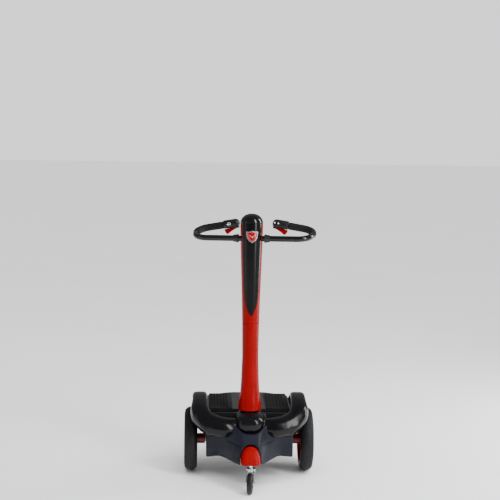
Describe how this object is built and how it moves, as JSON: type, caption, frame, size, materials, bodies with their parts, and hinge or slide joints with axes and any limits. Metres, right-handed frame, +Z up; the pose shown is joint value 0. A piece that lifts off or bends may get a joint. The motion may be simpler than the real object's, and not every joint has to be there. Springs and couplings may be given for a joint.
{
  "type": "stand-on self balancing ride",
  "caption": "Stand-on electric ride with two driven wheels, a foot deck, a leaning column with a looped steering bar and swivel casters front and rear.",
  "frame": {"origin": "on the ground, under the middle of the overall box, midway between the main wheels", "axes": "+Z up, +X to the rider's left, +Y to the rear; the rider faces -Y"},
  "size_m": [0.4843, 0.6522, 0.98],
  "materials": {
    "blue_grey": "moulded dark blue-grey plastic with a fine grain",
    "black_gloss": "gloss black moulded plastic",
    "black_satin": "satin black moulded plastic",
    "red_gloss": "gloss red moulded plastic",
    "red_rim": "dark red moulded plastic",
    "tyre_rubber": "black rubber with a knobbed tread",
    "mat_rubber": "ribbed black rubber",
    "grip_foam": "soft black foam",
    "bar_paint": "gloss black paint on steel tube",
    "bright_zinc": "bright plated steel",
    "steel": "plain steel",
    "chassis_paint": "black powder coat",
    "gear_nylon": "natural nylon",
    "case_plastic": "grey-black glass filled plastic",
    "caster_plastic": "dark grey plastic wheel",
    "battery_case": "dark battery case",
    "board_green": "green circuit board",
    "badge_enamel": "red enamel in a bright rim",
    "chrome_plastic": "bright plated plastic",
    "lamp_clear": "clear lamp lens",
    "loom_black": "black sleeved wiring",
    "socket_black": "black plastic socket"
  },
  "bodies": {
    "chassis": {"lower_housing": "blue_grey", "upper_cover": "black_gloss", "nose_cover": "red_gloss", "tail_cover": "red_gloss", "chassis_frame": "chassis_paint", "left_foot_mat": "mat_rubber", "right_foot_mat": "mat_rubber", "battery": "battery_case", "battery_strap": "steel", "control_board": "board_green", "charge_socket": "socket_black", "power_switch_bezel": "socket_black", "column_lower_shell": "red_gloss", "column_upper_shell": "red_gloss", "column_front_panel": "black_gloss", "head_cover": "black_gloss", "badge": "badge_enamel", "column_core_tube": "steel", "steering_bushes": "gear_nylon", "axle_rod": "steel", "axle_nuts": "bright_zinc", "gearbox_cases": "case_plastic", "gearbox_lids": "case_plastic", "gear_pins": "steel", "left_motor": "steel", "right_motor": "steel", "caster_stems": "bright_zinc", "cover_screws": "bright_zinc", "wiring_loom": "loom_black"},
    "handlebar_unit": {"steering_stem": "steel", "handlebar": "bar_paint", "bar_collars": "black_satin", "left_grip": "grip_foam", "right_grip": "grip_foam", "left_pod": "black_satin", "right_pod": "black_satin", "trigger_pins": "steel", "indicator_lamps": "lamp_clear"},
    "left_trigger_lever": {"left_trigger": "red_gloss"},
    "right_trigger_lever": {"right_trigger": "red_gloss"},
    "horn_button_cap": {"horn_button": "chrome_plastic"},
    "power_rocker": {"power_switch_rocker": "red_rim"},
    "left_wheel": {"left_tyre": "tyre_rubber", "left_rim": "red_rim", "left_hub_cap": "black_satin", "left_output_gear": "gear_nylon"},
    "left_second_gear_unit": {"left_second_gear": "gear_nylon"},
    "left_first_gear_unit": {"left_first_gear": "gear_nylon"},
    "left_rotor": {"left_motor_pinion": "bright_zinc"},
    "right_wheel": {"right_tyre": "tyre_rubber", "right_rim": "red_rim", "right_hub_cap": "black_satin", "right_output_gear": "gear_nylon"},
    "right_second_gear_unit": {"right_second_gear": "gear_nylon"},
    "right_first_gear_unit": {"right_first_gear": "gear_nylon"},
    "right_rotor": {"right_motor_pinion": "bright_zinc"},
    "front_caster": {"front_caster_fork": "bright_zinc"},
    "front_caster_roller": {"front_caster_wheel": "caster_plastic"},
    "rear_caster": {"rear_caster_fork": "bright_zinc"},
    "rear_caster_roller": {"rear_caster_wheel": "caster_plastic"}
  },
  "joints": [
    {"name": "steering", "type": "hinge", "parent": "chassis", "child": "handlebar_unit", "pos_m": [0, -0.04226, 0.88805], "axis": [0, 0.0785, 0.9969], "range_deg": [-1.5, 23.5]},
    {"name": "left_trigger_pull", "type": "hinge", "parent": "handlebar_unit", "child": "left_trigger_lever", "pos_m": [0.09039, 0.05504, 0.92002], "axis": [-0.1908, -0.9786, 0.077], "range_deg": [0, 5.5], "stiffness_Nm_per_rad": 1, "springref_deg": -8.59},
    {"name": "right_trigger_pull", "type": "hinge", "parent": "handlebar_unit", "child": "right_trigger_lever", "pos_m": [-0.04841, 0.08194, 0.9179], "axis": [0.1908, 0.9786, -0.077], "range_deg": [0, 5.5], "stiffness_Nm_per_rad": 1, "springref_deg": -8.59},
    {"name": "horn_press", "type": "slide", "parent": "handlebar_unit", "child": "horn_button_cap", "axis": [0.1908, 0.9786, -0.077], "range_m": [0, 0.002], "stiffness_N_per_m": 300, "springref_m": -0.002},
    {"name": "power_rocker_tilt", "type": "hinge", "parent": "chassis", "child": "power_rocker", "pos_m": [0, 0.015, 0.248], "axis": [1, 0, 0], "range_deg": [0, 16]},
    {"name": "left_wheel_spin", "type": "hinge", "parent": "chassis", "child": "left_wheel", "pos_m": [0.217, 0, 0.12], "axis": [1, 0, 0], "continuous": true},
    {"name": "left_second_gear_spin", "type": "hinge", "parent": "chassis", "child": "left_second_gear_unit", "pos_m": [0.118, -0.03507, 0.14025], "axis": [1, 0, 0], "continuous": true},
    {"name": "left_first_gear_spin", "type": "hinge", "parent": "chassis", "child": "left_first_gear_unit", "pos_m": [0.118, -0.06954, 0.14633], "axis": [1, 0, 0], "continuous": true},
    {"name": "left_rotor_spin", "type": "hinge", "parent": "chassis", "child": "left_rotor", "pos_m": [0.118, -0.09773, 0.13607], "axis": [1, 0, 0], "continuous": true},
    {"name": "right_wheel_spin", "type": "hinge", "parent": "chassis", "child": "right_wheel", "pos_m": [-0.217, 0, 0.12], "axis": [1, 0, 0], "continuous": true},
    {"name": "right_second_gear_spin", "type": "hinge", "parent": "chassis", "child": "right_second_gear_unit", "pos_m": [-0.118, -0.03507, 0.14025], "axis": [1, 0, 0], "continuous": true},
    {"name": "right_first_gear_spin", "type": "hinge", "parent": "chassis", "child": "right_first_gear_unit", "pos_m": [-0.118, -0.06954, 0.14633], "axis": [1, 0, 0], "continuous": true},
    {"name": "right_rotor_spin", "type": "hinge", "parent": "chassis", "child": "right_rotor", "pos_m": [-0.118, -0.09773, 0.13607], "axis": [1, 0, 0], "continuous": true},
    {"name": "front_caster_swivel", "type": "hinge", "parent": "chassis", "child": "front_caster", "pos_m": [0, -0.262, 0.08], "axis": [0, 0, 1], "continuous": true},
    {"name": "front_caster_roll", "type": "hinge", "parent": "front_caster", "child": "front_caster_roller", "pos_m": [-0.00329, -0.2888, 0.0375], "axis": [0.9925, -0.1219, 0], "continuous": true},
    {"name": "rear_caster_swivel", "type": "hinge", "parent": "chassis", "child": "rear_caster", "pos_m": [0, 0.262, 0.08], "axis": [0, 0, 1], "continuous": true},
    {"name": "rear_caster_roll", "type": "hinge", "parent": "rear_caster", "child": "rear_caster_roller", "pos_m": [0.00329, 0.2888, 0.0375], "axis": [-0.9925, 0.1219, 0], "continuous": true}
  ],
  "couplings": [
    {"joint": "left_second_gear_spin", "follows": "left_wheel_spin", "ratio": -3.5},
    {"joint": "left_first_gear_spin", "follows": "left_wheel_spin", "ratio": 12.833},
    {"joint": "left_rotor_spin", "follows": "left_wheel_spin", "ratio": -51.333},
    {"joint": "right_second_gear_spin", "follows": "right_wheel_spin", "ratio": -3.5},
    {"joint": "right_first_gear_spin", "follows": "right_wheel_spin", "ratio": 12.833},
    {"joint": "right_rotor_spin", "follows": "right_wheel_spin", "ratio": -51.333}
  ]
}
